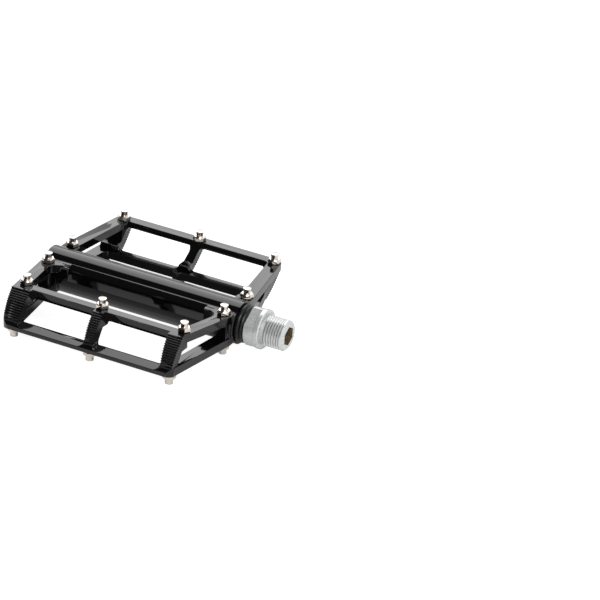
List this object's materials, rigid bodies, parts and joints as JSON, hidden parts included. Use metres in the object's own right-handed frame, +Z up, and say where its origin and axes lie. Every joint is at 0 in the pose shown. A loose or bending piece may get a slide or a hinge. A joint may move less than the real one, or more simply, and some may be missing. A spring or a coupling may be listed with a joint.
{
  "type": "flat bicycle pedal",
  "caption": "Flat bicycle pedal with an open machined cage, traction pins on both faces and a threaded spindle that turns on a bushing and a ball bearing.",
  "frame": {"origin": "on the spindle axis, in the middle of the pedal's overall box", "axes": "+X along the spindle towards the crank, +Y towards the rear row of the upper face, +Z up out of the upper tread face"},
  "size_m": [0.1228, 0.1064, 0.0242],
  "materials": {
    "frame_anodised": "glossy black anodised, milled aluminium",
    "cap_anodised": "black anodised, turned aluminium",
    "pin_nickel": "bright nickel-plated steel",
    "spindle_zinc": "pale satin plated steel",
    "bearing_steel": "ground bearing steel",
    "black_steel": "black oxide steel",
    "bushing_bronze": "sintered bronze",
    "cage_nylon": "amber nylon",
    "seal_rubber": "moulded black rubber, slightly glossy",
    "ring_rubber": "black rubber",
    "shield_rubber": "black rubber on steel"
  },
  "bodies": {
    "spindle_assembly": {"spindle": "spindle_zinc", "bearing_inner_race": "bearing_steel", "washer": "black_steel", "lock_nut": "black_steel"},
    "pedal_body": {"pedal_frame": "frame_anodised", "plain_bushing": "bushing_bronze", "inboard_seal": "seal_rubber", "bearing_outer_race": "bearing_steel", "bearing_shield_outboard": "shield_rubber", "bearing_shield_inboard": "shield_rubber", "end_cap": "cap_anodised", "end_cap_o_ring": "ring_rubber", "pin_top_front_outboard": "pin_nickel", "pin_top_front_middle": "pin_nickel", "pin_top_front_inboard": "pin_nickel", "pin_top_rear_outboard": "pin_nickel", "pin_top_rear_middle": "pin_nickel", "pin_top_rear_inboard": "pin_nickel", "pin_top_end_outboard_front": "pin_nickel", "pin_top_end_outboard_rear": "pin_nickel", "pin_top_end_inboard_front": "pin_nickel", "pin_top_end_inboard_rear": "pin_nickel", "pin_bottom_front_outboard": "pin_nickel", "pin_bottom_front_middle": "pin_nickel", "pin_bottom_front_inboard": "pin_nickel", "pin_bottom_rear_outboard": "pin_nickel", "pin_bottom_rear_middle": "pin_nickel", "pin_bottom_rear_inboard": "pin_nickel", "pin_bottom_end_outboard_front": "pin_nickel", "pin_bottom_end_outboard_rear": "pin_nickel", "pin_bottom_end_inboard_front": "pin_nickel", "pin_bottom_end_inboard_rear": "pin_nickel"},
    "ball_train": {"bearing_cage": "cage_nylon", "bearing_ball_1": "bearing_steel", "bearing_ball_2": "bearing_steel", "bearing_ball_3": "bearing_steel", "bearing_ball_4": "bearing_steel", "bearing_ball_5": "bearing_steel", "bearing_ball_6": "bearing_steel", "bearing_ball_7": "bearing_steel", "bearing_ball_8": "bearing_steel"}
  },
  "joints": [
    {"name": "pedal_spin", "type": "hinge", "parent": "spindle_assembly", "child": "pedal_body", "pos_m": [0, 0, 0], "axis": [1, 0, 0], "continuous": true},
    {"name": "ball_train_spin", "type": "hinge", "parent": "spindle_assembly", "child": "ball_train", "pos_m": [0, 0, 0], "axis": [1, 0, 0], "continuous": true}
  ],
  "couplings": [
    {"joint": "ball_train_spin", "follows": "pedal_spin", "ratio": 0.5958}
  ]
}
